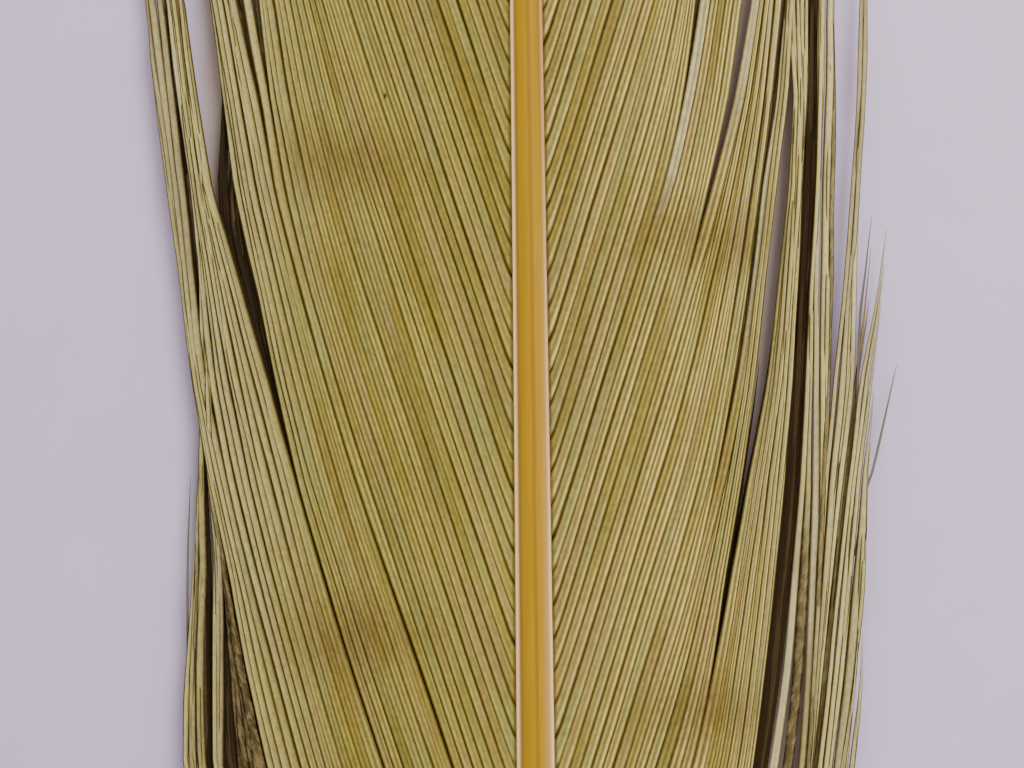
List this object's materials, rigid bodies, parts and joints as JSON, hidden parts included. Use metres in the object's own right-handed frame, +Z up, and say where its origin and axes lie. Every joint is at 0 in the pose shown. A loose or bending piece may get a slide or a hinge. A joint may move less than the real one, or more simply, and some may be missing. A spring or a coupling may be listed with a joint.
{
  "type": "pheasant tail feather",
  "caption": "Long tapering tail feather lying flat, upper side up, with a horn shaft, olive-yellow faintly barred vanes parted into locks, and down at its foot.",
  "frame": {"origin": "on the flat underside of the shaft, where the vanes begin above the bare quill", "axes": "+X to the feather's right seen from above with the tip away, +Y along the shaft towards the tip, +Z up out of the surface it lies on"},
  "size_m": [0.0374, 0.51, 0.004],
  "materials": {
    "vane": "soft satin barbs, dyed olive yellow, with pale ribs, dark grooves and faint brown bars",
    "shaft": "smooth ochre horn with pale pinkish rims and a fine darker line along its middle",
    "down": "loose pale buff down"
  },
  "bodies": {
    "root": {"feather": "vane"}
  },
  "joints": []
}
